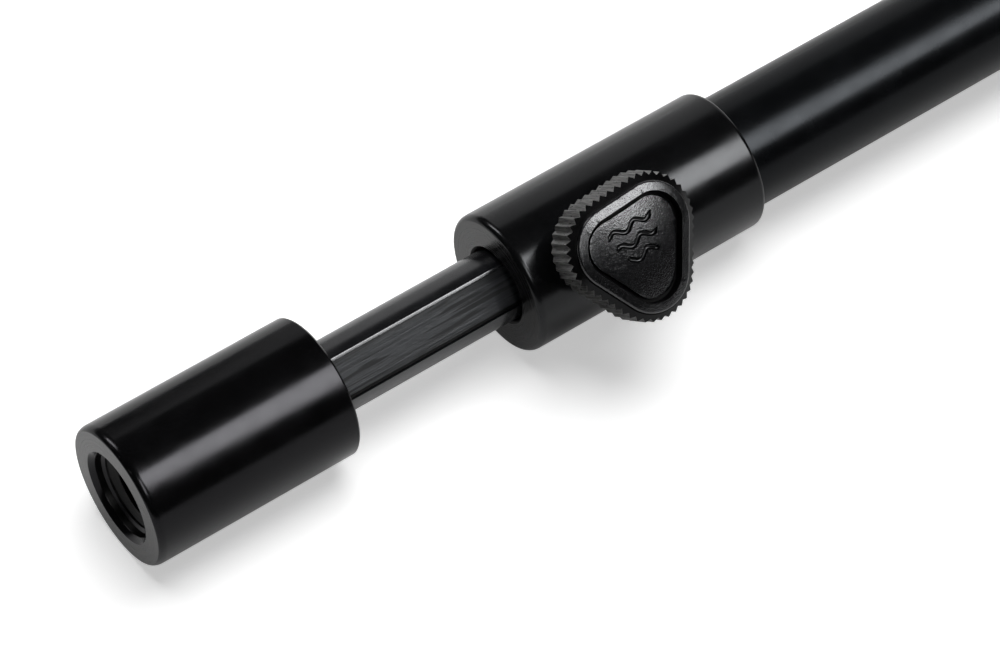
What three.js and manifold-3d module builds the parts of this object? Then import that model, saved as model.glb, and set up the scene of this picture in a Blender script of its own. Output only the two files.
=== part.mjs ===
// Telescopic bank stick for angling, lying on its side with the inner stem drawn out a little way.
// The stick runs along X, with its threaded head towards -X and its ground point towards +X.
// Lengths are in millimetres and angles in degrees.
import * as THREE from 'three';
import { mergeVertices } from 'three/addons/utils/BufferGeometryUtils.js';
import Module from 'manifold-3d';

const wasm = await Module();
wasm.setup();

// Whole stick
const closedLength = 305;
const drawnOut = 28;
const screwLean = 48;

// Clearances
const fitGap = 0.15;
const seatGap = 0.3;
const stemPlay = 0.25;
const threadPlay = 0.12;
const endAir = 4;

// Head, turned from the collar's own stock and tapped for a 3/8 inch BSF stud
const headLength = 30;
const headChamfer = 0.6;
const headRearEdge = 0.3;
const mouthRadius = 6.5;
const mouthChamfer = 0.65;
const recessRadius = 5.8;
const recessDepth = 1.3;
const recessStep = 0.35;
const threadMajorRadius = 4.7625;
const threadMinorRadius = 3.95;
const threadPitch = 1.27;
const threadCrestWidth = 0.32;
const threadRootGap = 0.16;
const threadDepth = 12;
const threadRunOut = 1.9;
const drillTip = 2.2;

// Stem, a drawn bar inside the tube's bore, with a flat-bottomed groove for the screw
const stemInset = 1.5;
const grooveDepth = 1.8;
const grooveSidePlay = 0.45;
const spigotStep = 1;
const spigotLength = 8;
const stemSeatDepth = 2.5;
const journalShare = 0.7;

// Stem guide and the screw that keeps it on
const guideLength = 10;
const guideEndPlay = 0.2;
const guideChamfer = 0.6;
const guideScrewShare = 0.57;
const guideScrewLength = 10;
const guideScrewHeadStep = 0.7;
const guideScrewHeadHeight = 2.6;
const guideScrewRimHeight = 1.3;
const guideScrewFaceStep = 2.1;
const guideKeyAcross = 2.5;
const guideKeyDepth = 1.4;

// Collar, with the screw's part in front of the shoulder and the tube's seat behind it
const collarWall = 1.6;
const collarLength = 36.5;
const shoulderFromFront = 18;
const collarFrontChamfer = 0.7;
const collarRearChamfer = 0.5;
const collarMouthFlare = 0.4;

// Outer tube
const tubeDiameter = 16;
const tubeWall = 1.5;
const tubeEdge = 0.2;

// Ground point
const pointLength = 32;
const pointLand = 4;
const pointTipRadius = 0.9;
const pointSpigotLength = 18;
const pointSpigotChamfer = 0.8;
const coneBulge = 0.25;

// Thumb screw, in front of the collar's shoulder
const screwToShoulder = 2.7;
const screwMajorRadius = 3;
const screwMinorRadius = 2.4;
const screwPitch = 1;
const screwCrestWidth = 0.25;
const screwRootGap = 0.25;
const padRadius = 2.3;
const padThickness = 1.4;
const padPegRadius = 1.1;
const padPegLength = 1.6;
const knobStandOff = 3.1;
const knobWall = 4.45;
const knobShoulder = 0.6;
const knobHubRadius = 4.4;
const knobHubLength = 1.6;
const knobLobeReach = 3.6;
const knobCornerRadius = 6.45;
const knobLowerBevel = 0.4;
const knobBevelWidth = 1;
const studInKnob = 3.4;
const toothCount = 51;
const toothDepth = 0.35;
const toothRelief = 0.1;
const lobeTurn = 34;
const capCornerRadius = 5.2;
const capRise = 0.75;
const capEdge = 0.35;
const capRimWidth = 1.2;
const capPanelDrop = 0.7;
const capPanelDraft = 0.3;
const capThickness = 2;

// Fineness of the round shapes
const roundSides = 40;
const boreSides = 24;
const screwSides = 16;
const hexSides = 6;
const lobeCount = 3;
const lobeArcSteps = 7;
const lobeEdgeSteps = 2;
const coneSteps = 6;
const tipSteps = 4;

// How far a cut runs past the surface that it opens, and how near two vertices count as one
const overrun = 0.5;
const weldDistance = 1e-4;

// Sizes that follow from the ones above
const tubeRadius = tubeDiameter / 2;
const tubeBoreRadius = tubeRadius - tubeWall;
const collarRadius = tubeRadius + fitGap + collarWall;
const headRadius = collarRadius;
const stemRadius = tubeBoreRadius - stemInset;
const stemBoreRadius = stemRadius + stemPlay;
const spigotRadius = stemRadius - spigotStep;
const journalRadius = stemRadius * journalShare;
const journalLength = guideLength + seatGap + guideEndPlay;
const guideScrewRadius = journalRadius * guideScrewShare;
const guideScrewHeadRadius = journalRadius + guideScrewHeadStep;
const grooveFloorHeight = stemRadius - grooveDepth;
const grooveWidth = 2 * (padRadius + grooveSidePlay);
const screwFromFront = shoulderFromFront - screwMajorRadius - screwToShoulder;
const knobBaseHeight = collarRadius + knobStandOff;
const headRearX = -drawnOut;
const headFrontX = headRearX - headLength;
const closingTravel = drawnOut - seatGap;
const tubeFrontX = shoulderFromFront + seatGap;
const tubeRearX = closedLength - headLength - pointLength;
const pointTipX = tubeRearX + pointLength;
const pointSpigotX = tubeRearX - pointSpigotLength;
const stemEndX = pointSpigotX - endAir - closingTravel - guideScrewHeadHeight;
const journalX = stemEndX - journalLength;
const knobTopHeight = knobBaseHeight + knobWall;
const capSeatHeight = knobTopHeight + knobShoulder + capRise - capThickness;
const padBaseHeight = grooveFloorHeight + seatGap;
const studBaseHeight = padBaseHeight + padThickness + seatGap;
const studTopHeight = knobBaseHeight + studInKnob;

const finishes = {
  anodised: { color: 0x16171a, roughness: 0.34, metalness: 0.85 },
  drawnBar: { color: 0x23262b, roughness: 0.38, metalness: 0.85 },
  turnedPoint: { color: 0x1c1a19, roughness: 0.42, metalness: 0.8 },
  knobBlack: { color: 0x191a1d, roughness: 0.5, metalness: 0.6 },
  capPlastic: { color: 0x121314, roughness: 0.62, metalness: 0 },
  nylon: { color: 0xe6e3da, roughness: 0.55, metalness: 0 },
  steel: { color: 0xb4b7ba, roughness: 0.3, metalness: 1 },
};

function volumeOf(positions, index) {
  let sum = 0;
  const [a, b, c] = [new THREE.Vector3(), new THREE.Vector3(), new THREE.Vector3()];
  for (let i = 0; i < index.length; i += 3) {
    a.fromArray(positions, index[i] * 3);
    b.fromArray(positions, index[i + 1] * 3);
    c.fromArray(positions, index[i + 2] * 3);
    sum += a.dot(b.cross(c));
  }
  return sum;
}

// Welds a closed geometry into a solid whose faces point out, without the slivers at its poles.
function solidFrom(geometry) {
  const bare = geometry.clone();
  bare.deleteAttribute('normal');
  bare.deleteAttribute('uv');
  const welded = mergeVertices(bare, weldDistance);
  const index = [];
  for (let i = 0; i < welded.index.count; i += 3) {
    const [a, b, c] = [0, 1, 2].map((corner) => welded.index.getX(i + corner));
    if (a !== b && b !== c && c !== a) index.push(a, b, c);
  }
  const vertProperties = Float32Array.from(welded.attributes.position.array);
  if (volumeOf(vertProperties, index) < 0) {
    for (let i = 0; i < index.length; i += 3) [index[i], index[i + 1]] = [index[i + 1], index[i]];
  }
  return new wasm.Manifold(new wasm.Mesh({ numProp: 3, vertProperties, triVerts: Uint32Array.from(index) }));
}

function geometryFrom(solid) {
  const { numProp, vertProperties, triVerts } = solid.getMesh();
  const geometry = new THREE.BufferGeometry();
  const stride = new THREE.InterleavedBuffer(vertProperties, numProp);
  const positions = new THREE.InterleavedBufferAttribute(stride, 3, 0);
  const flat = new Float32Array(positions.count * 3);
  for (let i = 0; i < positions.count; i += 1) {
    flat.set([positions.getX(i), positions.getY(i), positions.getZ(i)], i * 3);
  }
  geometry.setAttribute('position', new THREE.BufferAttribute(flat, 3));
  geometry.setIndex(new THREE.BufferAttribute(Uint32Array.from(triVerts), 1));
  geometry.computeVertexNormals();
  return geometry;
}

// A solid turned about the X axis from pairs of [place along the axis, radius].
function turned(outline, sides = roundSides) {
  const points = outline.map(([along, radius]) => new THREE.Vector2(radius, along));
  const geometry = new THREE.LatheGeometry(points, sides);
  geometry.rotateZ(-Math.PI / 2);
  return solidFrom(geometry);
}

// A solid turned about the Z axis from pairs of [height, radius].
function turnedUpright(outline, sides) {
  const points = outline.map(([height, radius]) => new THREE.Vector2(radius, height));
  const geometry = new THREE.LatheGeometry(points, sides);
  geometry.rotateX(Math.PI / 2);
  return solidFrom(geometry);
}

// Joins rings of equally many points into one closed skin, with a fan over each end.
function skin(rings) {
  const count = rings[0].length;
  const positions = rings.flat(2);
  const index = [];
  for (let ring = 0; ring < rings.length - 1; ring += 1) {
    for (let i = 0; i < count; i += 1) {
      const [a, b] = [ring * count + i, ring * count + ((i + 1) % count)];
      index.push(a, b, b + count, a, b + count, a + count);
    }
  }
  for (const first of [0, (rings.length - 1) * count]) {
    const centre = positions.length / 3;
    const ring = rings[first / count];
    for (const axis of [0, 1, 2]) positions.push(ring.reduce((sum, point) => sum + point[axis], 0) / count);
    for (let i = 0; i < count; i += 1) {
      const [a, b] = [first + i, first + ((i + 1) % count)];
      index.push(...(first === 0 ? [centre, b, a] : [centre, a, b]));
    }
  }
  const geometry = new THREE.BufferGeometry();
  geometry.setAttribute('position', new THREE.Float32BufferAttribute(positions, 3));
  geometry.setIndex(index);
  return solidFrom(geometry);
}

// The section of a thread's ridge as pairs of [along, radius], from its root to its crest and back.
function ridge(start, pitch, rootGap, crestWidth, rootRadius, crestRadius) {
  const end = start + pitch - rootGap;
  const crestStart = (start + end - crestWidth) / 2;
  return [
    [start, rootRadius],
    [crestStart, crestRadius],
    [crestStart + crestWidth, crestRadius],
    [end, rootRadius],
  ];
}

// A section of [along, radius] pairs swept along a helix about the X axis.
function helix(section, pitch, turns, sides) {
  const rings = [];
  for (let step = 0; step <= Math.round(turns * sides); step += 1) {
    const angle = (step / sides) * 2 * Math.PI;
    const advance = (step / sides) * pitch;
    rings.push(section.map(([along, radius]) => (
      [along + advance, radius * Math.cos(angle), radius * Math.sin(angle)]
    )));
  }
  return skin(rings);
}

// Points round a three-lobed outline: corner arcs about centres at knobLobeReach, and straight flanks.
function lobedRing(cornerRadius, height) {
  const ring = [];
  const halfArc = Math.PI / lobeCount;
  for (let lobe = 0; lobe < lobeCount; lobe += 1) {
    const facing = THREE.MathUtils.degToRad(lobeTurn) + lobe * 2 * halfArc;
    const centre = [knobLobeReach * Math.cos(facing), knobLobeReach * Math.sin(facing)];
    for (let step = 0; step <= lobeArcSteps; step += 1) {
      const angle = facing - halfArc + (2 * halfArc * step) / lobeArcSteps;
      const [across, up] = [cornerRadius * Math.cos(angle), cornerRadius * Math.sin(angle)];
      ring.push([centre[0] + across, centre[1] + up, height]);
    }
    const next = facing + 2 * halfArc;
    const edgeAngle = facing + halfArc;
    const flankEnd = [
      knobLobeReach * Math.cos(next) + cornerRadius * Math.cos(edgeAngle),
      knobLobeReach * Math.sin(next) + cornerRadius * Math.sin(edgeAngle),
    ];
    const flankStart = ring[ring.length - 1];
    for (let step = 1; step < lobeEdgeSteps; step += 1) {
      const share = step / lobeEdgeSteps;
      ring.push([
        flankStart[0] + (flankEnd[0] - flankStart[0]) * share,
        flankStart[1] + (flankEnd[1] - flankStart[1]) * share,
        height,
      ]);
    }
  }
  return ring;
}

// A three-lobed solid from pairs of [height, corner radius].
function lobed(outline) {
  return skin(outline.map(([height, cornerRadius]) => lobedRing(cornerRadius, height)));
}

// The knob's toothed outline, stepped along its length so that every tooth has the same pitch.
function toothedShape() {
  const halfArc = Math.PI / lobeCount;
  const rootRadius = knobCornerRadius - toothDepth;
  const arcLength = 2 * halfArc * rootRadius;
  const flankLength = 2 * knobLobeReach * Math.sin(halfArc);
  const lobeLength = arcLength + flankLength;
  const points = [];
  for (let step = 0; step < toothCount * 2; step += 1) {
    const travelled = (step / (toothCount * 2)) * lobeLength * lobeCount;
    const lobe = Math.floor(travelled / lobeLength);
    const along = travelled - lobe * lobeLength;
    const facing = THREE.MathUtils.degToRad(lobeTurn) + lobe * 2 * halfArc;
    const angle = facing - halfArc + Math.min(along / rootRadius, 2 * halfArc);
    const radius = rootRadius + (step % 2) * toothDepth;
    const drift = Math.max(along - arcLength, 0);
    points.push(new THREE.Vector2(
      knobLobeReach * Math.cos(facing) + radius * Math.cos(angle) - drift * Math.sin(angle),
      knobLobeReach * Math.sin(facing) + radius * Math.sin(angle) + drift * Math.cos(angle),
    ));
  }
  return new THREE.Shape(points);
}

function part(name, solid, finish) {
  const mesh = new THREE.Mesh(geometryFrom(solid), new THREE.MeshStandardMaterial(finish));
  mesh.name = name;
  return mesh;
}

function headSolid() {
  const body = turned([
    [headRearX - stemSeatDepth - spigotLength - seatGap, 0],
    [headRearX - stemSeatDepth - spigotLength - seatGap, spigotRadius + fitGap],
    [headRearX - stemSeatDepth, spigotRadius + fitGap],
    [headRearX - stemSeatDepth, stemRadius + fitGap],
    [headRearX, stemRadius + fitGap],
    [headRearX, headRadius - headRearEdge],
    [headRearX - headRearEdge, headRadius],
    [headFrontX + headChamfer, headRadius],
    [headFrontX, headRadius - headChamfer],
    [headFrontX, 0],
  ]);
  const threadStart = headFrontX + recessDepth;
  const flare = recessRadius - recessStep;
  const bore = turned([
    [headFrontX - overrun, 0],
    [headFrontX - overrun, mouthRadius],
    [headFrontX, mouthRadius],
    [headFrontX + mouthChamfer, recessRadius],
    [threadStart, recessRadius],
    [threadStart, flare],
    [threadStart + flare - threadMinorRadius, threadMinorRadius],
    [headFrontX + threadDepth, threadMinorRadius],
    [headFrontX + threadDepth + drillTip, 0],
  ], boreSides);
  const root = threadMinorRadius - overrun;
  const section = ridge(threadStart, threadPitch, threadRootGap, threadCrestWidth, root, threadMajorRadius);
  const turns = (threadDepth - recessDepth - threadRunOut) / threadPitch;
  const thread = helix(section, threadPitch, turns, boreSides);
  return body.subtract(bore).subtract(thread);
}

// The groove and everything on the thumb screw's axis lean together towards the viewer's side.
function leaned(solid) {
  return solid.rotate([screwLean, 0, 0]);
}

function stemSolid() {
  const bar = turned([
    [headRearX - stemSeatDepth - spigotLength, 0],
    [headRearX - stemSeatDepth - spigotLength, spigotRadius],
    [headRearX - stemSeatDepth + seatGap, spigotRadius],
    [headRearX - stemSeatDepth + seatGap, stemRadius],
    [journalX, stemRadius],
    [journalX, journalRadius],
    [stemEndX, journalRadius],
    [stemEndX, guideScrewRadius + fitGap],
    [stemEndX - guideScrewLength - seatGap, guideScrewRadius + fitGap],
    [stemEndX - guideScrewLength - seatGap, 0],
  ]);
  const cutDepth = grooveDepth + overrun;
  const grooveStart = headRearX - stemSeatDepth - spigotLength - overrun;
  const cutter = new THREE.BoxGeometry(journalX - grooveStart, grooveWidth, cutDepth);
  cutter.translate((journalX + grooveStart) / 2, 0, grooveFloorHeight + cutDepth / 2);
  return bar.subtract(leaned(solidFrom(cutter)));
}

function stemGuideSolid() {
  const [front, rear] = [journalX + seatGap, journalX + seatGap + guideLength];
  const outer = tubeBoreRadius - fitGap;
  const inner = journalRadius + fitGap;
  return turned([
    [front, inner],
    [front, outer - guideChamfer],
    [front + guideChamfer, outer],
    [rear - guideChamfer, outer],
    [rear, outer - guideChamfer],
    [rear, inner],
    [front, inner],
  ]);
}

function guideScrewSolid() {
  const seat = stemEndX + seatGap;
  const screw = turned([
    [stemEndX - guideScrewLength, 0],
    [stemEndX - guideScrewLength, guideScrewRadius],
    [seat, guideScrewRadius],
    [seat, guideScrewHeadRadius],
    [seat + guideScrewRimHeight, guideScrewHeadRadius],
    [seat + guideScrewHeadHeight, guideScrewHeadRadius - guideScrewFaceStep],
    [seat + guideScrewHeadHeight, 0],
  ], boreSides);
  const keyRadius = guideKeyAcross / 2 / Math.cos(Math.PI / hexSides);
  const key = turned([
    [seat + guideScrewHeadHeight - guideKeyDepth, 0],
    [seat + guideScrewHeadHeight - guideKeyDepth, keyRadius],
    [seat + guideScrewHeadHeight + overrun, keyRadius],
    [seat + guideScrewHeadHeight + overrun, 0],
  ], hexSides);
  return screw.subtract(key);
}

function collarSolid() {
  const body = turned([
    [0, stemBoreRadius + collarMouthFlare],
    [0, collarRadius - collarFrontChamfer],
    [collarFrontChamfer, collarRadius],
    [collarLength - collarRearChamfer, collarRadius],
    [collarLength, collarRadius - collarRearChamfer],
    [collarLength, tubeRadius + fitGap],
    [shoulderFromFront, tubeRadius + fitGap],
    [shoulderFromFront, stemBoreRadius],
    [collarMouthFlare, stemBoreRadius],
    [0, stemBoreRadius + collarMouthFlare],
  ]);
  const holeRadius = screwMajorRadius + threadPlay;
  const hole = turnedUpright([
    [0, 0],
    [0, holeRadius],
    [collarRadius + overrun, holeRadius],
    [collarRadius + overrun, 0],
  ], screwSides).translate([screwFromFront, 0, 0]);
  return body.subtract(leaned(hole));
}

function outerTubeSolid() {
  return turned([
    [tubeFrontX, tubeBoreRadius],
    [tubeFrontX, tubeRadius],
    [tubeRearX - tubeEdge, tubeRadius],
    [tubeRearX, tubeRadius - tubeEdge],
    [tubeRearX, tubeBoreRadius],
    [tubeFrontX, tubeBoreRadius],
  ]);
}

// The cone swells a little between its shoulder and the rounded tip.
function groundPointSolid() {
  const landStart = tubeRearX + fitGap;
  const coneStart = tubeRearX + pointLand;
  const coneEnd = pointTipX - pointTipRadius;
  const outline = [
    [pointSpigotX, 0],
    [pointSpigotX, tubeBoreRadius - fitGap - pointSpigotChamfer],
    [pointSpigotX + pointSpigotChamfer, tubeBoreRadius - fitGap],
    [landStart, tubeBoreRadius - fitGap],
    [landStart, tubeRadius - tubeEdge],
    [landStart + tubeEdge, tubeRadius],
  ];
  for (let step = 0; step <= coneSteps; step += 1) {
    const share = step / coneSteps;
    const straight = tubeRadius + (pointTipRadius - tubeRadius) * share;
    const swell = coneBulge * Math.sin(Math.PI * share);
    outline.push([coneStart + (coneEnd - coneStart) * share, straight + swell]);
  }
  for (let step = 1; step <= tipSteps; step += 1) {
    const angle = (Math.PI / 2) * (step / tipSteps);
    const radius = step === tipSteps ? 0 : pointTipRadius * Math.cos(angle);
    outline.push([coneEnd + pointTipRadius * Math.sin(angle), radius]);
  }
  return turned(outline);
}

function screwStudSolid() {
  const core = turned([
    [studBaseHeight, 0],
    [studBaseHeight, screwMinorRadius],
    [studTopHeight, screwMinorRadius],
    [studTopHeight, 0],
  ], screwSides);
  const pegHole = turned([
    [studBaseHeight - overrun, 0],
    [studBaseHeight - overrun, padPegRadius + fitGap],
    [studBaseHeight + padPegLength, padPegRadius + fitGap],
    [studBaseHeight + padPegLength, 0],
  ], screwSides);
  const root = screwMinorRadius - fitGap;
  const section = ridge(studBaseHeight, screwPitch, screwRootGap, screwCrestWidth, root, screwMajorRadius);
  const turns = (studTopHeight - studBaseHeight) / screwPitch - 1;
  const thread = helix(section, screwPitch, turns, screwSides);
  return core.add(thread).subtract(pegHole);
}

// A disc that bears on the groove's floor, with a peg that the screw carries it by.
function screwPadSolid() {
  return turned([
    [padBaseHeight, 0],
    [padBaseHeight, padRadius],
    [padBaseHeight + padThickness, padRadius],
    [padBaseHeight + padThickness, padPegRadius],
    [padBaseHeight + padThickness + padPegLength, padPegRadius],
    [padBaseHeight + padThickness + padPegLength, 0],
  ], screwSides);
}

function knobSolid() {
  const depth = knobWall + knobShoulder;
  const teeth = new THREE.ExtrudeGeometry(toothedShape(), { depth, bevelEnabled: false });
  teeth.translate(0, 0, knobBaseHeight);
  const smooth = lobed([
    [knobBaseHeight, knobCornerRadius - knobLowerBevel],
    [knobBaseHeight + knobLowerBevel, knobCornerRadius + toothRelief],
    [knobTopHeight, knobCornerRadius + toothRelief],
    [knobTopHeight + knobShoulder, knobCornerRadius - knobBevelWidth],
  ]);
  const hub = turnedUpright([
    [knobBaseHeight - knobHubLength, 0],
    [knobBaseHeight - knobHubLength, knobHubRadius],
    [knobBaseHeight + overrun, knobHubRadius],
    [knobBaseHeight + overrun, 0],
  ], boreSides);
  const pocket = lobed([
    [capSeatHeight - seatGap, capCornerRadius + fitGap],
    [knobTopHeight + knobShoulder + overrun, capCornerRadius + fitGap],
  ]);
  const studHole = turnedUpright([
    [knobBaseHeight - knobHubLength - overrun, 0],
    [knobBaseHeight - knobHubLength - overrun, screwMajorRadius + threadPlay],
    [studTopHeight + seatGap, screwMajorRadius + threadPlay],
    [studTopHeight + seatGap, 0],
  ], screwSides);
  return solidFrom(teeth).intersect(smooth).add(hub).subtract(pocket).subtract(studHole);
}

function knobCapSolid() {
  const top = capSeatHeight + capThickness;
  const panel = capCornerRadius - capRimWidth;
  return lobed([
    [capSeatHeight, capCornerRadius],
    [top - capEdge, capCornerRadius],
    [top, capCornerRadius - capEdge],
    [top, panel],
    [top - capPanelDrop, panel - capPanelDraft],
  ]);
}

// Pieces on the thumb screw's axis are made upright, then leaned with the groove.
function thumbScrew() {
  const group = new THREE.Group();
  const upright = new THREE.Group();
  upright.rotation.y = -Math.PI / 2;
  upright.add(part('screw_stud', screwStudSolid(), finishes.steel));
  upright.add(part('screw_pad', screwPadSolid(), finishes.nylon));
  group.add(upright);
  group.add(part('knob', knobSolid(), finishes.knobBlack));
  group.add(part('knob_cap', knobCapSolid(), finishes.capPlastic));
  group.rotation.x = THREE.MathUtils.degToRad(screwLean);
  group.position.x = screwFromFront;
  return group;
}

const stick = new THREE.Group();
stick.add(part('head', headSolid(), finishes.anodised));
stick.add(part('stem', stemSolid(), finishes.drawnBar));
stick.add(part('stem_guide', stemGuideSolid(), finishes.nylon));
stick.add(part('guide_screw', guideScrewSolid(), finishes.steel));
stick.add(part('collar', collarSolid(), finishes.anodised));
stick.add(part('outer_tube', outerTubeSolid(), finishes.anodised));
stick.add(part('ground_point', groundPointSolid(), finishes.turnedPoint));
stick.add(thumbScrew());

// The origin is the middle of the stick's footprint, on the ground it lies on.
stick.updateMatrixWorld(true);
const extent = new THREE.Box3().setFromObject(stick, true);
const middle = extent.getCenter(new THREE.Vector3());
stick.position.set(-middle.x, -middle.y, -extent.min.z);

export default stick;
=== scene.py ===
import math

import bmesh
import bpy
from mathutils import Matrix, Quaternion, Vector


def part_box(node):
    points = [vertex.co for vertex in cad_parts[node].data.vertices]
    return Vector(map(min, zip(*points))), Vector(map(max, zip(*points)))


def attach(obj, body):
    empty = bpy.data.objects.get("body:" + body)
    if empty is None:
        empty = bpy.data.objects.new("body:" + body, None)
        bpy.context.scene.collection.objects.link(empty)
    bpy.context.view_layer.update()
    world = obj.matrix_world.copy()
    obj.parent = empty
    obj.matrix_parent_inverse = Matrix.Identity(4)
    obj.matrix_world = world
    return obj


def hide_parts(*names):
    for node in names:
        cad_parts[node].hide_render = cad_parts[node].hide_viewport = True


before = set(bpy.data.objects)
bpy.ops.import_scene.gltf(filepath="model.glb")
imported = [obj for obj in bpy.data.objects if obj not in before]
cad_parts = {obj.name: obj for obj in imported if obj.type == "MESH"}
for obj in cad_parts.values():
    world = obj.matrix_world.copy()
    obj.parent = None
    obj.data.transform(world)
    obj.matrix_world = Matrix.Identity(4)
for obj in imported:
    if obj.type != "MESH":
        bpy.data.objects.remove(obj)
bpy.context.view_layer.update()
print("stick: frame loaded")

mm = 0.001
thirdTurn = math.radians(120)
sixthTurn = math.radians(60)
centreHole = 0.4  # radius at which one flat face closes a turned end
overrun = 1  # how far a cutter or a joined piece runs on
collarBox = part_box("collar")
axisY = (collarBox[0].y + collarBox[1].y) / 2
axisZ = (collarBox[0].z + collarBox[1].z) / 2
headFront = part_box("head")[0].x
collarFront = collarBox[0].x
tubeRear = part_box("outer_tube")[1].x


# small hand moves that every piece needs

def deselectEverything():
    if bpy.context.mode != "OBJECT":
        bpy.ops.object.mode_set(mode="OBJECT")
    bpy.ops.object.select_all(action="DESELECT")


def workOn(piece):
    deselectEverything()
    piece.select_set(True)
    bpy.context.view_layer.objects.active = piece


def openForEditing(piece):
    workOn(piece)
    bpy.ops.object.mode_set(mode="EDIT")


def pickFaces(piece, test):
    bpy.ops.mesh.select_mode(type="FACE")
    bpy.ops.mesh.select_all(action="DESELECT")
    shape = bmesh.from_edit_mesh(piece.data)
    for face in shape.faces:
        if test(face.calc_center_median(), face.normal):
            face.select_set(True)
    bmesh.update_edit_mesh(piece.data)


def pickOpenEdges():
    bpy.ops.mesh.select_all(action="DESELECT")
    bpy.ops.mesh.select_mode(type="EDGE")
    bpy.ops.mesh.select_non_manifold()


def closeEdit(outwards=True):
    if outwards:
        bpy.ops.mesh.select_all(action="SELECT")
        bpy.ops.mesh.normals_make_consistent(inside=False)
    bpy.ops.mesh.select_all(action="DESELECT")
    bpy.ops.object.mode_set(mode="OBJECT")


def settleMesh(piece):
    workOn(piece)
    bpy.ops.object.transform_apply(location=True, rotation=True, scale=True)


def useModifier(piece, kind, **settings):
    workOn(piece)
    bpy.ops.object.modifier_add(type=kind)
    modifier = piece.modifiers[-1]
    for key, value in settings.items():
        setattr(modifier, key, value)
    bpy.ops.object.modifier_apply(modifier=modifier.name)


def easeEdges(piece, width, segments=3, limit=24):
    useModifier(piece, "BEVEL", width=width * mm, segments=segments, limit_method="ANGLE",
                angle_limit=math.radians(limit), use_clamp_overlap=True, miter_outer="MITER_ARC")


def smoothSkin(piece, limit=32):
    workOn(piece)
    bpy.ops.object.shade_smooth_by_angle(angle=math.radians(limit))
    useModifier(piece, "WEIGHTED_NORMAL", mode="FACE_AREA", weight=60, keep_sharp=True)


# cuts a tool away from a piece, or adds it, or keeps what both share
def carve(piece, tool, operation="DIFFERENCE"):
    useModifier(piece, "BOOLEAN", operation=operation, solver="EXACT", object=tool)
    bpy.data.objects.remove(tool, do_unlink=True)


def joinInto(piece, others):
    deselectEverything()
    for other in others:
        other.select_set(True)
    piece.select_set(True)
    bpy.context.view_layer.objects.active = piece
    bpy.ops.object.join()
    return piece


# a piece turned about the stick's axis, from pairs of place along the stick and radius in mm
def turnPiece(name, outline, start, sides=160, hollow=False):
    deselectEverything()
    along, radius = outline[0]
    bpy.ops.mesh.primitive_circle_add(vertices=sides, radius=radius * mm, fill_type="NOTHING",
                                      location=(start + along * mm, axisY, axisZ),
                                      rotation=(0, math.pi / 2, 0))
    piece = bpy.context.object
    piece.name = name
    settleMesh(piece)
    openForEditing(piece)
    bpy.ops.mesh.select_all(action="SELECT")
    for nextAlong, nextRadius in outline[1:]:
        step = (nextAlong - along) * mm
        bpy.ops.mesh.extrude_region_move(TRANSFORM_OT_translate={"value": (step, 0, 0)})
        if nextRadius != radius:
            scale = nextRadius / radius
            bpy.ops.transform.resize(value=(1, scale, scale),
                                     center_override=(start + nextAlong * mm, axisY, axisZ))
        along, radius = nextAlong, nextRadius
    pickOpenEdges()
    if hollow:
        bpy.ops.mesh.bridge_edge_loops()
    else:
        bpy.ops.mesh.fill_holes(sides=0)
    closeEdit()
    return piece


# one pitch of a thread's outline, carried round the stick's axis
def windThread(outline, start, pitch, turns, steps):
    deselectEverything()
    bpy.ops.mesh.primitive_circle_add(vertices=len(outline), radius=mm, fill_type="NOTHING",
                                      location=(0, 0, 0))
    thread = bpy.context.object
    for vertex, (along, radius) in zip(thread.data.vertices, outline):
        vertex.co = Vector((along, 0, radius)) * mm
    useModifier(thread, "SCREW", axis="X", angle=math.tau, screw_offset=pitch * mm, iterations=turns,
                steps=steps, render_steps=steps, use_merge_vertices=True, merge_threshold=1e-7)
    openForEditing(thread)
    pickOpenEdges()
    bpy.ops.mesh.fill_holes(sides=0)
    closeEdit()
    thread.location = (start, axisY, axisZ)
    settleMesh(thread)
    return thread


# an upright rod on the screw's axis, between two heights in mm, for a piece that leans later
def addRod(radius, bottom, top, sides):
    deselectEverything()
    bpy.ops.mesh.primitive_cylinder_add(vertices=sides, radius=radius * mm, depth=(top - bottom) * mm,
                                        location=(0, 0, (bottom + top) / 2 * mm))
    rod = bpy.context.object
    settleMesh(rod)
    return rod


# head

headLook = {
    "length": 30, "radius": 9.75, "noseLength": 1.1, "noseDrop": 0.55, "rearEdge": 0.3, "edge": 0.08,
    "mouth": 6.5, "mouthChamfer": 0.65, "counterbore": 5.8, "counterboreDepth": 1.5, "drillCone": 31,
    "lead": 5.3, "leadDepth": 2.05, "leadStep": 0.25, "cornerStep": 0.05,
    "major": 4.76, "minor": 4.02, "pitch": 1.27, "flank": 27.5, "halfCrest": 0.1, "ridgeFoot": 0.02,
    "ridgeRoot": 0.35, "threadStart": 0.3, "turns": 8, "turnSteps": 72, "threadEnd": 12,
    "drillTip": 2.2, "tipHole": 0.05, "socket": 5.15, "socketDepth": 2.5, "spigot": 4.15,
    "spigotDepth": 10.8, "darkFrom": 0.06, "darkTo": 16, "darkRadius": 5.95,
}


# half an oval from the flat face to the full radius, as a file and polish leave an edge
def noseOutline(length, drop, radius, steps=8):
    points = []
    for step in range(steps + 1):
        angle = math.pi / 2 * step / steps
        points.append((length * (1 - math.cos(angle)), radius - drop * (1 - math.sin(angle))))
    return points


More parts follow.
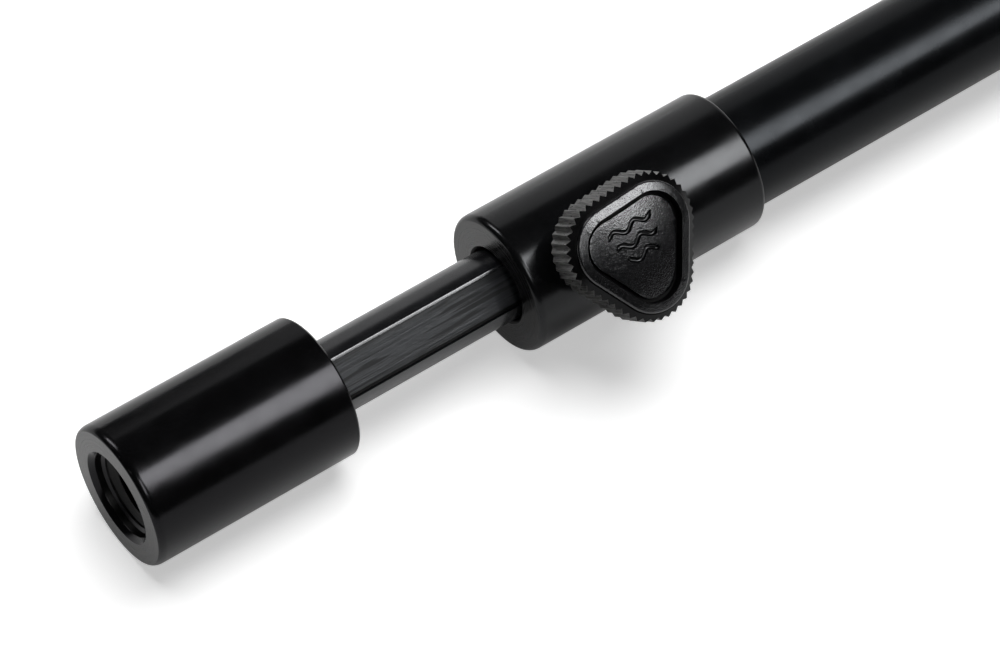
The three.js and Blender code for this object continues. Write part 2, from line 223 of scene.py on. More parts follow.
def makeHead():
    s = headLook
    rear = s["length"]
    coneEnd = s["counterboreDepth"] + (s["counterbore"] - s["lead"]) * math.tan(math.radians(s["drillCone"]))
    throat = s["leadDepth"] + s["leadStep"]
    head = turnPiece("threadedHead", [
        (rear - s["spigotDepth"], centreHole),
        (rear - s["spigotDepth"], s["spigot"]),
        (rear - s["socketDepth"], s["spigot"]),
        (rear - s["socketDepth"], s["socket"]),
        (rear, s["socket"]),
        (rear, s["radius"] - s["rearEdge"]),
        (rear - s["rearEdge"], s["radius"]),
        *reversed(noseOutline(s["noseLength"], s["noseDrop"], s["radius"])),
        (0, s["mouth"]),
        (s["mouthChamfer"], s["counterbore"] + s["cornerStep"]),
        (s["counterboreDepth"], s["counterbore"]),
        (coneEnd, s["lead"]),
        (s["leadDepth"], s["lead"] - s["cornerStep"]),
        (throat, s["major"]),
        (throat + (s["major"] - s["minor"]) / 2, s["minor"]),
        (s["threadEnd"], s["minor"]),
        (s["threadEnd"] + s["drillTip"], s["tipHole"]),
    ], headFront)
    easeEdges(head, s["edge"])
    start = s["leadDepth"] + s["threadStart"]
    half = s["halfCrest"] + (s["major"] - s["minor"]) * math.tan(math.radians(s["flank"]))
    foot, root = s["minor"] - s["ridgeFoot"], s["minor"] - s["ridgeRoot"]
    ridge = [
        (start - half, root),
        (start - half, foot),
        (start - s["halfCrest"], s["major"]),
        (start + s["halfCrest"], s["major"]),
        (start + half, foot),
        (start + half, root),
    ]
    carve(head, windThread(ridge, headFront, s["pitch"], s["turns"], s["turnSteps"]))
    smoothSkin(head, limit=24)
    return head


threadedHead = makeHead()
print("stick: head turned and tapped")


# collar

collarLook = {
    "length": 36.5, "radius": 9.75, "noseLength": 1.0, "noseDrop": 0.65, "rearNose": 0.6, "rearDrop": 0.45,
    "bore": 5.25, "flare": 0.35, "shoulder": 18, "seat": 8.15, "edge": 0.08,
    "crossHole": 3.12, "crossDepth": 12, "crossPlace": 12.3, "darkRadius": 5.8,
}
screwLean = math.radians(48)
screwWay = Vector((0, -math.sin(screwLean), math.cos(screwLean)))
screwSide = Vector((0, math.cos(screwLean), math.sin(screwLean)))
screwFoot = Vector((collarFront + collarLook["crossPlace"] * mm, axisY, axisZ))


# carries an upright piece to the thumb screw's axis, which leans towards the viewer's side
def leanWithScrew(piece):
    workOn(piece)
    piece.rotation_euler = (screwLean, 0, 0)
    piece.location = (collarFront + collarLook["crossPlace"] * mm, axisY, axisZ)
    settleMesh(piece)


# a point's place in mm along the stick, aside from the screw, and up it from the stick's axis
def placeOnScrew(point):
    away = point - screwFoot
    return away.x / mm, away.dot(screwSide) / mm, away.dot(screwWay) / mm


def makeCollar():
    s = collarLook
    rearNose = noseOutline(s["rearNose"], s["rearDrop"], s["radius"])
    collar = turnPiece("clampCollar", [
        (0, s["bore"] + s["flare"]),
        *noseOutline(s["noseLength"], s["noseDrop"], s["radius"]),
        *((s["length"] - along, radius) for along, radius in reversed(rearNose)),
        (s["length"], s["seat"]),
        (s["shoulder"], s["seat"]),
        (s["shoulder"], s["bore"]),
        (s["flare"], s["bore"]),
    ], collarFront, hollow=True)
    easeEdges(collar, s["edge"])
    drill = addRod(s["crossHole"], 0, s["crossDepth"], sides=64)
    leanWithScrew(drill)
    carve(collar, drill)
    smoothSkin(collar)
    return collar


clampCollar = makeCollar()
print("stick: collar bored")


# outer tube

tubeLook = {"front": 18.3, "rear": 243, "radius": 8, "wall": 1.5, "edge": 0.2, "ease": 0.06}


def makeTube():
    s = tubeLook
    bore = s["radius"] - s["wall"]
    tube = turnPiece("outerTube", [
        (s["front"], bore),
        (s["front"], s["radius"]),
        (s["rear"] - s["edge"], s["radius"]),
        (s["rear"], s["radius"] - s["edge"]),
        (s["rear"], bore),
    ], collarFront, hollow=True)
    easeEdges(tube, s["ease"], segments=2)
    smoothSkin(tube)
    return tube


outerTube = makeTube()


# ground point

pointLook = {
    "land": 4, "length": 32, "radius": 8, "bulge": 0.25, "tip": 0.9, "tipHole": 0.02, "coneSteps": 24,
    "tipSteps": 8, "spigot": 18, "spigotRadius": 6.35, "chamfer": 0.8, "seam": 0.15, "edge": 0.2,
    "ease": 0.05,
}


def makePoint():
    s = pointLook
    coneEnd = s["length"] - s["tip"]
    outline = [
        (-s["spigot"], centreHole),
        (-s["spigot"], s["spigotRadius"] - s["chamfer"]),
        (-s["spigot"] + s["chamfer"], s["spigotRadius"]),
        (s["seam"], s["spigotRadius"]),
        (s["seam"], s["radius"] - s["edge"]),
        (s["seam"] + s["edge"], s["radius"]),
    ]
    for step in range(s["coneSteps"] + 1):
        share = step / s["coneSteps"]
        radius = s["radius"] + (s["tip"] - s["radius"]) * share + s["bulge"] * math.sin(math.pi * share)
        outline.append((s["land"] + (coneEnd - s["land"]) * share, radius))
    for step in range(1, s["tipSteps"] + 1):
        angle = math.pi / 2 * step / s["tipSteps"]
        outline.append((coneEnd + s["tip"] * math.sin(angle), max(s["tip"] * math.cos(angle), s["tipHole"])))
    point = turnPiece("groundPoint", outline, tubeRear)
    easeEdges(point, s["ease"], segments=2)
    smoothSkin(point)
    return point


groundPoint = makePoint()
print("stick: tube and point made")


# stem

stemLook = {
    "front": -38.5, "rear": 190.7, "radius": 5, "grooveWidth": 5.5, "grooveFloor": 3.2, "corner": 0.07,
    "lipWidth": 0.4, "lipTilt": 6, "darkBelow": 0.34, "darkAbove": 0.1, "wallTop": 0.85,
    "spigotEnd": -30.2, "spigotRadius": 4, "journalStart": 180.2, "journalRadius": 3.5, "screwHole": 2.15,
    "screwDepth": 10.3, "planeLength": 260, "planeMiddle": 80, "ploughHeight": 4, "scraperWidth": 2,
    "scraperHeight": 1,
}


# planes the stem from end to end with a block, whose sole lies aside and up from the stick's axis
def planeStem(stem, aside, height, width, thickness, tilt=0):
    s = stemLook
    sole = Vector((s["planeMiddle"], aside, height))
    deselectEverything()
    bpy.ops.mesh.primitive_cube_add(size=1, location=(0, 0, 0))
    block = bpy.context.object
    block.scale = (s["planeLength"] * mm, width * mm, thickness * mm)
    block.rotation_euler = (-tilt, 0, 0)
    block.location = (sole + Vector((0, math.sin(tilt), math.cos(tilt))) * thickness / 2) * mm
    settleMesh(block)
    leanWithScrew(block)
    carve(stem, block)


def makeStem():
    s = stemLook
    deselectEverything()
    bpy.ops.mesh.primitive_cylinder_add(
        vertices=160, radius=s["radius"] * mm, depth=(s["journalStart"] - s["spigotEnd"]) * mm,
        location=(collarFront + (s["journalStart"] + s["spigotEnd"]) / 2 * mm, axisY, axisZ),
        rotation=(0, math.pi / 2, 0))
    stem = bpy.context.object
    stem.name = "innerStem"
    settleMesh(stem)
    planeStem(stem, 0, s["grooveFloor"], s["grooveWidth"], s["ploughHeight"])
    tilt = math.radians(s["lipTilt"])
    inner = s["grooveWidth"] / 2
    outer = inner + s["lipWidth"] * math.cos(tilt)
    crest = math.sqrt(s["radius"] ** 2 - outer ** 2)
    planeStem(stem, outer - math.cos(tilt) * s["lipWidth"] / 2, crest + math.sin(tilt) * s["lipWidth"] / 2,
              s["scraperWidth"], s["scraperHeight"], tilt)
    easeEdges(stem, s["corner"], segments=4, limit=28)
    for place in (s["darkBelow"] - inner, inner - s["darkAbove"]):
        openForEditing(stem)
        bpy.ops.mesh.select_all(action="SELECT")
        bpy.ops.mesh.bisect(plane_co=screwFoot + screwSide * place * mm, plane_no=screwSide)
        closeEdit(outwards=False)
    spigot = turnPiece("stemSpigot", [
        (s["front"], centreHole),
        (s["front"], s["spigotRadius"]),
        (s["spigotEnd"] + overrun, s["spigotRadius"]),
        (s["spigotEnd"] + overrun, centreHole),
    ], collarFront, sides=64)
    journal = turnPiece("stemJournal", [
        (s["journalStart"] - overrun, centreHole),
        (s["journalStart"] - overrun, s["journalRadius"]),
        (s["rear"], s["journalRadius"]),
        (s["rear"], s["screwHole"]),
        (s["rear"] - s["screwDepth"], s["screwHole"]),
        (s["rear"] - s["screwDepth"], centreHole),
    ], collarFront, sides=64)
    joinInto(stem, [spigot, journal])
    smoothSkin(stem)
    return stem


innerStem = makeStem()
print("stick: stem drawn and grooved")


# knob

knobLook = {
    "base": 12.85, "wall": 4.45, "shoulder": 0.6, "reach": 3.6, "corner": 6.45, "lowerBevel": 0.4,
    "bevel": 1.0, "turn": 34, "teeth": 51, "toothDepth": 0.48, "toothWidth": 1.12, "cutterRadius": 0.6,
    "cutterLength": 8, "hubRadius": 4.4, "hubLength": 1.6, "pocket": 5.35, "pocketFloor": 16.35,
    "bore": 3.12, "boreTop": 16.55, "boreDepth": 8,
}


# lobed solid: three stacks of rings, one per lobe, wrapped in one hull
def hullLobes(name, rings, sides=96):
    reach = knobLook["reach"] * mm
    circles = []
    for lobe in range(3):
        facing = math.radians(knobLook["turn"]) + thirdTurn * lobe
        for height, radius in rings:
            deselectEverything()
            bpy.ops.mesh.primitive_circle_add(
                vertices=sides, radius=radius * mm, fill_type="NOTHING",
                location=(reach * math.cos(facing), reach * math.sin(facing), height * mm),
                rotation=(0, 0, facing))
            circles.append(bpy.context.object)
    body = joinInto(circles[0], circles[1:])
    body.name = name
    settleMesh(body)
    openForEditing(body)
    bpy.ops.mesh.select_all(action="SELECT")
    bpy.ops.mesh.convex_hull()
    closeEdit()
    return body


# one four-sided cutter, copied along the outline so that every tooth has the same pitch
def cutTeeth(body):
    s = knobLook
    bottom = s["base"] - overrun
    first = addRod(s["cutterRadius"], bottom, bottom + s["cutterLength"], sides=4)
    first.scale = (1, s["toothWidth"] / 2 / s["toothDepth"], 1)
    settleMesh(first)
    arc = thirdTurn * s["corner"]
    lobeLength = arc + 2 * s["reach"] * math.sin(sixthTurn)
    out = s["corner"] - s["toothDepth"] + s["cutterRadius"]
    cutters = []
    for tooth in range(s["teeth"]):
        travelled = tooth / s["teeth"] * lobeLength * 3
        lobe = int(travelled // lobeLength)
        along = travelled - lobe * lobeLength
        facing = math.radians(s["turn"]) + thirdTurn * lobe
        angle = facing - sixthTurn + min(along / s["corner"], thirdTurn)
        drift = max(along - arc, 0)
        x = s["reach"] * math.cos(facing) + out * math.cos(angle) - drift * math.sin(angle)
        y = s["reach"] * math.sin(facing) + out * math.sin(angle) + drift * math.cos(angle)
        cutter = first.copy()
        cutter.data = first.data.copy()
        bpy.context.collection.objects.link(cutter)
        cutter.matrix_world = Matrix.Translation((x * mm, y * mm, 0)) @ Matrix.Rotation(angle, 4, "Z")
        cutters.append(cutter)
    bpy.data.objects.remove(first, do_unlink=True)
    for cutter in cutters:
        settleMesh(cutter)
    carve(body, joinInto(cutters[0], cutters[1:]))


def makeKnob():
    s = knobLook
    wallTop = s["base"] + s["wall"]
    top = wallTop + s["shoulder"]
    knob = hullLobes("thumbKnob", [
        (s["base"], s["corner"] - s["lowerBevel"]),
        (s["base"] + s["lowerBevel"], s["corner"]),
        (wallTop, s["corner"]),
        (top, s["corner"] - s["bevel"]),
    ])
    carve(knob, hullLobes("capPocket", [(s["pocketFloor"], s["pocket"]), (top + overrun, s["pocket"])]))
    hub = addRod(s["hubRadius"], s["base"] - s["hubLength"], s["base"] + overrun, sides=96)
    carve(knob, hub, "UNION")
    carve(knob, addRod(s["bore"], s["boreTop"] - s["boreDepth"], s["boreTop"], sides=48))
    cutTeeth(knob)
    leanWithScrew(knob)
    smoothSkin(knob, limit=20)
    return knob


thumbKnob = makeKnob()
print("stick: knob toothed")


# cap in the knob

capLook = {
    "seat": 16.65, "top": 18.65, "corner": 5.3, "foot": 0.1, "fall": 0.23, "crownWidth": 0.35,
    "crownDrop": 0.35, "rim": 1.3, "draft": 0.1, "soft": 0.34, "moat": 0.62, "moatFloor": 17.35,
    "wellRise": 0.5, "panelTop": 18.5, "dome": 36, "panelSunk": 0.2, "panelFoot": 0.05, "panelHead": 0.15,
    "panelSoft": 0.1, "waveRows": ((3.1, 7.2), (1.1, 6.4), (-0.9, 4.8)), "waveLength": 3.2,
    "waveRise": 0.42, "waveWidth": 0.7, "waveSunk": 0.02, "waveSteps": 8, "waveEnd": 0.3, "waveSwell": 10,
}
waveTurn = math.radians(knobLook["turn"] + 150)


# rings of a lid: a small foot, an upright side, an oval shoulder and a rim that rises gently inwards
def lidRings(steps=8):
    s = capLook
    rings = [(s["seat"], s["corner"] - s["foot"]), (s["seat"] + s["foot"], s["corner"])]
    for step in range(steps + 1):
        angle = math.pi / 2 * step / steps
        rings.append((s["top"] - s["fall"] - s["crownDrop"] * (1 - math.sin(angle)),
                      s["corner"] - s["crownWidth"] * (1 - math.cos(angle))))
    rings.append((s["top"], s["corner"] - s["rim"] - s["draft"]))
    return rings


def domeHeight(x, y):
    s = capLook
    return s["panelTop"] - s["dome"] + math.sqrt(s["dome"] ** 2 - x * x - y * y)


def waveSwing(along):
    return capLook["waveRise"] * math.sin(math.tau * along / capLook["waveLength"])


# round cutter along a ripple that follows the dome, as a plain ornament
def makeWave(across, length):
    s = capLook
    steps = round(length * s["waveSteps"])
    curve = bpy.data.curves.new("ripple", "CURVE")
    curve.dimensions = "3D"
    curve.bevel_depth = s["waveWidth"] / 2 * mm
    curve.bevel_resolution = 3
    curve.use_fill_caps = True
    line = curve.splines.new("POLY")
    line.points.add(steps)
    for step in range(steps + 1):
        along = (step / steps - 0.5) * length
        side = across - waveSwing(along)
        x = along * math.cos(waveTurn) + side * math.sin(waveTurn)
        y = along * math.sin(waveTurn) - side * math.cos(waveTurn)
        line.points[step].co = (x * mm, y * mm, (domeHeight(x, y) - s["waveSunk"]) * mm, 1)
        line.points[step].radius = min(1, s["waveEnd"] + s["waveSwell"] * min(step, steps - step) / steps)
    deselectEverything()
    ripple = bpy.data.objects.new("ripple", curve)
    bpy.context.collection.objects.link(ripple)
    workOn(ripple)
    bpy.ops.object.convert(target="MESH")
    return bpy.context.object


def makeCap():
    s = capLook
    cap = hullLobes("knobInset", lidRings())
    inner = s["corner"] - s["rim"]
    carve(cap, hullLobes("wellCutter", [(s["moatFloor"], inner - s["draft"]),
                                        (s["top"] + s["wellRise"], inner + s["draft"])]))
    easeEdges(cap, s["soft"], segments=5, limit=40)
    edge = inner - s["moat"]
    panel = hullLobes("capPanel", [(s["moatFloor"] - s["panelSunk"], edge + s["panelFoot"]),
                                   (s["top"] + overrun, edge - s["panelHead"])])
    deselectEverything()
    bpy.ops.mesh.primitive_uv_sphere_add(segments=256, ring_count=128, radius=s["dome"] * mm,
                                         location=(0, 0, (s["panelTop"] - s["dome"]) * mm),
                                         rotation=(math.pi / 2, 0, 0))
    ball = bpy.context.object
    settleMesh(ball)
    carve(panel, ball, "INTERSECT")
    easeEdges(panel, s["panelSoft"], limit=35)
    for across, length in s["waveRows"]:
        carve(panel, makeWave(across, length))
    joinInto(cap, [panel])
    leanWithScrew(cap)
    smoothSkin(cap, limit=40)
    return cap


knobInset = makeCap()
print("stick: cap pressed in")


# riding and standing for the solids

for piece, body, node, slot in (
    (threadedHead, "inner", "head", "anodised_black"),
    (innerStem, "inner", "stem", "drawn_bar"),
    (clampCollar, "barrel", "collar", "anodised_black"),
    (outerTube, "barrel", "outer_tube", "anodised_black"),
    (groundPoint, "barrel", "ground_point", "turned_point"),
    (thumbKnob, "thumb_screw", "knob", "knob_black"),
    (knobInset, "thumb_screw", "knob_cap", "cap_plastic"),
):
    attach(piece, body)
    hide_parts(node)
print("stick: pieces ride on their bodies")


# finishes

# a node whose sockets are fed in their order, by values or by other nodes' outputs
def addNode(tree, kind, *feeds, operation=None):
    node = tree.nodes.new("ShaderNode" + kind)
    if operation:
        node.operation = operation
    for socket, feed in zip(node.inputs, feeds):
        if isinstance(feed, bpy.types.NodeSocket):
            tree.links.new(feed, socket)
        else:
            socket.default_value = feed
    return node


def startFinish(name, look):
    finish = bpy.data.materials.new(name)
    finish.use_nodes = True
    shader = finish.node_tree.nodes["Principled BSDF"]
    shader.inputs["Base Color"].default_value = (*look["colour"], 1)
    shader.inputs["Roughness"].default_value = look["rough"]
    shader.inputs["Metallic"].default_value = look.get("metallic", 0)
    shader.inputs["IOR"].default_value = look.get("ior", 1.5)
    shader.inputs["Specular Tint"].default_value = (*look.get("tint", (1, 1, 1)), 1)
    return finish, finish.node_tree, shader


# noise on the piece's own coordinates, in marks to the metre: one number, or one for each axis
def addNoise(tree, marks, detail=3, rough=0.5, lean=0):
    if not isinstance(marks, tuple):
        marks = (marks,) * 3
    mapping = addNode(tree, "Mapping", addNode(tree, "TexCoord").outputs["Object"])
    mapping.vector_type = "TEXTURE"
    mapping.inputs["Rotation"].default_value = (lean, 0, 0)
    mapping.inputs["Scale"].default_value = tuple(1 / value for value in marks)
    noise = addNode(tree, "TexNoise", mapping.outputs["Vector"])
    noise.inputs["Scale"].default_value = 1
    noise.inputs["Detail"].default_value = detail
    noise.inputs["Roughness"].default_value = rough
    return noise.outputs["Fac"]


# how far a point is from the stick's axis, and its place along the stick
def addRadius(tree):
    place = addNode(tree, "TexCoord").outputs["Object"]
    centred = addNode(tree, "VectorMath", place, (0, axisY, axisZ), operation="SUBTRACT")
    flat = addNode(tree, "VectorMath", centred.outputs[0], (0, 1, 1), operation="MULTIPLY")
    length = addNode(tree, "VectorMath", flat.outputs[0], operation="LENGTH")
    return length.outputs["Value"], addNode(tree, "SeparateXYZ", place).outputs["X"]


# distance along a direction from the foot of the screw
def addReach(tree, way):
    place = addNode(tree, "TexCoord").outputs["Object"]
    centred = addNode(tree, "VectorMath", place, screwFoot, operation="SUBTRACT")
    return addNode(tree, "VectorMath", centred.outputs[0], way, operation="DOT_PRODUCT").outputs["Value"]


# the colour so far gives way to another where a value passes from start to end
def blendColour(tree, shader, value, start, end, colour):
    share = addNode(tree, "MapRange", value, start, end, 0, 1)
    share.interpolation_type = "SMOOTHSTEP"
    mix = addNode(tree, "Mix", share.outputs[0])
    mix.data_type = "RGBA"
    before, after, blended = mix.inputs[6], mix.inputs[7], mix.outputs[2]  # its colour sockets
    after.default_value = (*colour, 1)
    tree.links.new(shader.inputs["Base Color"].links[0].from_socket, before)
    tree.links.new(blended, shader.inputs["Base Color"])


# fine relief over any that the finish has already
def addBump(tree, shader, height, distance):
    bump = addNode(tree, "Bump")
    bump.inputs["Strength"].default_value = 1
    bump.inputs["Distance"].default_value = distance
    tree.links.new(height, bump.inputs["Height"])
    if shader.inputs["Normal"].is_linked:
        tree.links.new(shader.inputs["Normal"].links[0].from_socket, bump.inputs["Normal"])
    tree.links.new(bump.outputs["Normal"], shader.inputs["Normal"])


# roughness that wanders between two values with one noise, and colour likewise
def wanderRoughness(tree, shader, noise, low, high, start=0.35, end=0.65):
    spread = addNode(tree, "MapRange", noise, start, end, low, high)
    tree.links.new(spread.outputs[0], shader.inputs["Roughness"])


def wanderColour(tree, shader, noise, dark, light, start=0.35, end=0.65):
    ramp = addNode(tree, "ValToRGB", noise)
    for stop, place, colour in zip(ramp.color_ramp.elements, (start, end), (dark, light)):
        stop.position = place
        stop.color = (*colour, 1)
    tree.links.new(ramp.outputs["Color"], shader.inputs["Base Color"])


def shaded(colour, share):
    return tuple(value * share for value in colour)


turnedLines = (14000, 50, 50)  # marks to the metre along the stick, across it and up
drawnLines = (40, 3600, 3600)
anodisedLook = {
    "satinBlackAnodised": {"colour": (0.0024, 0.0024, 0.0027), "rough": 0.18, "ior": 1.265,
                           "tint": (0.95, 0.94, 1), "lines": turnedLines, "worn": (0.03, 0.03, 0.031)},
    "collarBlackAnodised": {"colour": (0.0028, 0.0029, 0.0034), "rough": 0.2, "ior": 1.32,
                            "tint": (0.95, 0.97, 1), "lines": turnedLines, "worn": (0.035, 0.035, 0.036)},
    "tubeBlackAnodised": {"colour": (0.003, 0.0034, 0.004), "rough": 0.23, "ior": 1.21,
                          "tint": (0.87, 0.93, 1), "lines": drawnLines},
    "barBlackAnodised": {"colour": (0.004, 0.0042, 0.0052), "rough": 0.22, "ior": 1.68,
                         "tint": (0.97, 0.98, 1), "lines": drawnLines},
    "turnedBlackPoint": {"colour": (0.0075, 0.006, 0.0055), "rough": 0.27, "ior": 1.33,
                         "tint": (1, 0.97, 0.95), "lines": (9000, 40, 40), "lineDepth": 0.000002},
    "knobBlackAnodised": {"colour": (0.0024, 0.0024, 0.0026), "rough": 0.21, "ior": 1.25,
                          "tint": (0.98, 0.99, 1), "lines": 9000},
    "every": {"shade": 0.6, "spots": 180, "patches": (260, 420, 420), "smoother": 0.025, "rougher": 0.035,
              "lineDepth": 0.0000006, "grain": 11000, "grainDepth": 0.0000012},
}


# black anodising over turned or drawn metal: faint tool lines, a fine etched grain and handled patches
def anodised(name):
    s = {**anodisedLook["every"], **anodisedLook[name]}
    finish, tree, shader = startFinish(name, s)
    spots = addNoise(tree, s["spots"], detail=4)
    wanderColour(tree, shader, spots, shaded(s["colour"], s["shade"]), s["colour"])
    wanderRoughness(tree, shader, addNoise(tree, s["patches"], detail=5, rough=0.6),
                    s["rough"] - s["smoother"], s["rough"] + s["rougher"])
    addBump(tree, shader, addNoise(tree, s["lines"]), s["lineDepth"])
    addBump(tree, shader, addNoise(tree, s["grain"], detail=2), s["grainDepth"])
    return finish


wearLook = {"width": 0.16, "ragged": 2.4, "clear": 1.9, "bare": 0.9, "spots": 900, "noseAt": (0.3, 0.5)}


# anodising rubbed paler on the turned piece's nose and rear edge
def wornAnodised(name, start, pieceLook, rearRadius):
    s = wearLook
    finish = anodised(name)
    tree = finish.node_tree
    width = s["width"] * mm
    radius, along = addRadius(tree)
    inwards, down = s["noseAt"]
    nose = (pieceLook["noseLength"] * inwards, pieceLook["radius"] - pieceLook["noseDrop"] * down)
    nearest = None
    for place, size in (nose, (pieceLook["length"], rearRadius)):
        aside = addNode(tree, "Math", along, start + place * mm, operation="SUBTRACT")
        across = addNode(tree, "Math", radius, size * mm, operation="SUBTRACT")
        joined = addNode(tree, "CombineXYZ", aside.outputs[0], across.outputs[0])
        gap = addNode(tree, "VectorMath", joined.outputs[0], operation="LENGTH").outputs["Value"]
        nearest = addNode(tree, "Math", nearest, gap, operation="MINIMUM").outputs[0] if nearest else gap
    noise = addNoise(tree, s["spots"], detail=4, rough=0.65)
    ragged = addNode(tree, "Math", noise, s["ragged"] * width, nearest, operation="MULTIPLY_ADD")
    blendColour(tree, tree.nodes["Principled BSDF"], ragged.outputs[0], s["clear"] * width,
                s["bare"] * width, anodisedLook[name]["worn"])
    return finish


facedLook = {
    "facedHeadEnd": {"colour": (0.004, 0.004, 0.0044), "rough": 0.26, "ior": 1.38},
    "facedCollarEnd": {"colour": (0.004, 0.004, 0.0044), "rough": 0.26, "ior": 1.35},
    "every": {"shade": 0.6, "spots": 300, "rings": 7000, "smoother": 0.02, "rougher": 0.03,
              "depth": 0.0000012},
}


# faced end of a turned piece: rings round the axis
def facedEnd(name):
    s = {**facedLook["every"], **facedLook[name]}
    finish, tree, shader = startFinish(name, s)
    radius = addRadius(tree)[0]
    rings = addNode(tree, "TexNoise")
    rings.noise_dimensions = "1D"
    rings.inputs["Scale"].default_value = 1
    rings.inputs["Detail"].default_value = 3
    scaled = addNode(tree, "Math", radius, s["rings"], operation="MULTIPLY")
    tree.links.new(scaled.outputs[0], rings.inputs["W"])
    spots = addNoise(tree, s["spots"], detail=4)
    wanderColour(tree, shader, spots, shaded(s["colour"], s["shade"]), s["colour"])
    wanderRoughness(tree, shader, rings.outputs["Fac"], s["rough"] - s["smoother"], s["rough"] + s["rougher"])
    addBump(tree, shader, rings.outputs["Fac"], s["depth"])
    return finish


shadeBlackLook = {
    # painted shade: the head's bore is dark and dull inside, where shade falls
    "boreShadeBlack": {"colour": (0.0009, 0.0009, 0.001), "rough": 0.36, "ior": 1.22, "spots": 900,
                    "dark": (0.0005, 0.0005, 0.0005), "light": (0.0014, 0.0014, 0.0015),
                    "lines": (5600, 60, 60), "detail": 1, "depth": 0.00002},
    # painted shade: the collar's bore, the groove's walls and the cap's moat, dark where shade falls
    "recessShadeBlack": {"colour": (0.001, 0.001, 0.0011), "rough": 0.42, "ior": 1.16,
                        "spots": (60, 2000, 2000), "dark": (0.0006, 0.0006, 0.0006),
                        "light": (0.0018, 0.0018, 0.002), "lines": drawnLines, "detail": 3,
                        "depth": 0.000002},
    # the ripples: smooth from the mould, and darker and duller in their grooves as painted shade
    "rippleGlossShade": {"colour": (0.0012, 0.0012, 0.0014), "rough": 0.18, "ior": 1.3, "tint": (0.97, 0.98, 1),
                    "spots": 2500, "dark": (0.001, 0.001, 0.0012), "light": (0.002, 0.002, 0.0024),
                    "lines": 7000, "detail": 1, "depth": 0.000006},
}


# painted shade: black and dull where shade falls, in the tapped bore, the collar's bore, the groove's walls
# and the moat; the ripples, polished in the mould, are darker in their grooves as painted shade
def shadeBlackFinish(name):
    s = shadeBlackLook[name]
    finish, tree, shader = startFinish(name, s)
    wanderColour(tree, shader, addNoise(tree, s["spots"]), s["dark"], s["light"])
    addBump(tree, shader, addNoise(tree, s["lines"], detail=s["detail"]), s["depth"])
    return finish


grooveLook = {
    "colour": (0.016, 0.017, 0.0195), "rough": 0.36, "ior": 1.45, "tint": (0.96, 0.98, 1),
    "lines": (45, 2600, 2600), "dark": (0.0018, 0.002, 0.0024), "light": (0.025, 0.0265, 0.03),
    "lineRange": (0.4, 0.53), "depth": 0.000045, "streaks": (75, 1500, 1500), "streakRange": (0.38, 0.45),
    "streakRough": (0.72, 0.35), "streakColour": (0.0018, 0.0019, 0.0022),
    "cornerShadeWidth": 0.32, "cornerShadeCore": 0.12, "cornerShadeColour": (0.0012, 0.0012, 0.0014),
}


# the groove's floor keeps the die's long lines, and its corners are darkened with painted shade
def makeGrooveFinish():
    s = grooveLook
    finish, tree, shader = startFinish("drawnGrooveFloor", s)
    lines = addNoise(tree, s["lines"], detail=5, rough=0.7)
    wanderColour(tree, shader, lines, s["dark"], s["light"], *s["lineRange"])
    addBump(tree, shader, lines, s["depth"])
    streaks = addNoise(tree, s["streaks"], detail=1)
    start, end = s["streakRange"]
    wanderRoughness(tree, shader, streaks, *s["streakRough"], start, end)
    blendColour(tree, shader, streaks, end, start, s["streakColour"])
    # painted shade: the floor darkens towards both walls
    aside = addNode(tree, "Math", addReach(tree, screwSide), operation="ABSOLUTE")
    half = stemLook["grooveWidth"] / 2
    blendColour(tree, shader, aside.outputs[0], (half - s["cornerShadeWidth"]) * mm, (half - s["cornerShadeCore"]) * mm,
                s["cornerShadeColour"])
    return finish


toothHighlightLook = {
    # painted highlight: colours far paler than the knob's, standing in for light caught on the teeth's flanks
    "colour": (0.02, 0.02, 0.0195), "rough": 0.33, "ior": 1.44, "streaks": (5200, 5200, 420),
    "dark": (0.02, 0.02, 0.0192), "light": (0.125, 0.125, 0.121), "streakRange": (0.4, 0.6),
    "patches": (2600, 2600, 900), "roughRange": (0.26, 0.44), "depth": 0.000022,
    "paleTopWidth": 0.12, "paleTopColour": (0.105, 0.105, 0.102),
}


# milled teeth with a painted highlight: much paler than the anodised faces as if lit, streaked lighter and
# darker along each tooth, and an even pale band at the upper edge
def makeToothHighlightFinish():
    s = toothHighlightLook
    finish, tree, shader = startFinish("milledTeethPaintedHighlight", s)
    streaks = addNoise(tree, s["streaks"], rough=0.65, lean=screwLean)
    patches = addNoise(tree, s["patches"], rough=0.6, lean=screwLean)
    wanderColour(tree, shader, streaks, s["dark"], s["light"], *s["streakRange"])
    wanderRoughness(tree, shader, patches, *s["roughRange"])
    addBump(tree, shader, streaks, s["depth"])
    top = (knobLook["base"] + knobLook["wall"]) * mm
    blendColour(tree, shader, addReach(tree, screwWay), top - s["paleTopWidth"] * mm, top, s["paleTopColour"])
    return finish


grainLook = {
    "colour": (0.0045, 0.0045, 0.0055), "rough": 0.19, "ior": 1.55, "tint": (0.97, 0.98, 1), "grain": 5600,
    "dark": (0.0008, 0.0008, 0.001), "light": (0.0065, 0.0067, 0.008), "grainRange": (0.5, 0.66),
    "patches": 3000, "roughRange": (0.17, 0.22), "depth": 0.000034,
}


# moulded cap: an even spark-eroded grain that glints a little
def makeCapFinish():
    s = grainLook
    finish, tree, shader = startFinish("sparkTexturedCap", s)
    grain = addNoise(tree, s["grain"], detail=1, rough=0.55)
    wanderColour(tree, shader, grain, s["dark"], s["light"], *s["grainRange"])
    wanderRoughness(tree, shader, addNoise(tree, s["patches"], detail=2), *s["roughRange"])
    addBump(tree, shader, grain, s["depth"])
    return finish


plainLook = {
    "naturalNylon": {"colour": (0.72, 0.69, 0.6), "rough": 0.5, "lines": 2500, "depth": 0.00001},
    "brightSteel": {"colour": (0.56, 0.57, 0.58), "rough": 0.28, "metallic": 1, "lines": (7000, 200, 200),
                    "depth": 0.000004},
    "every": {"shade": 0.86, "spots": 500, "patches": 700, "smoother": 0.05, "rougher": 0.06},
}


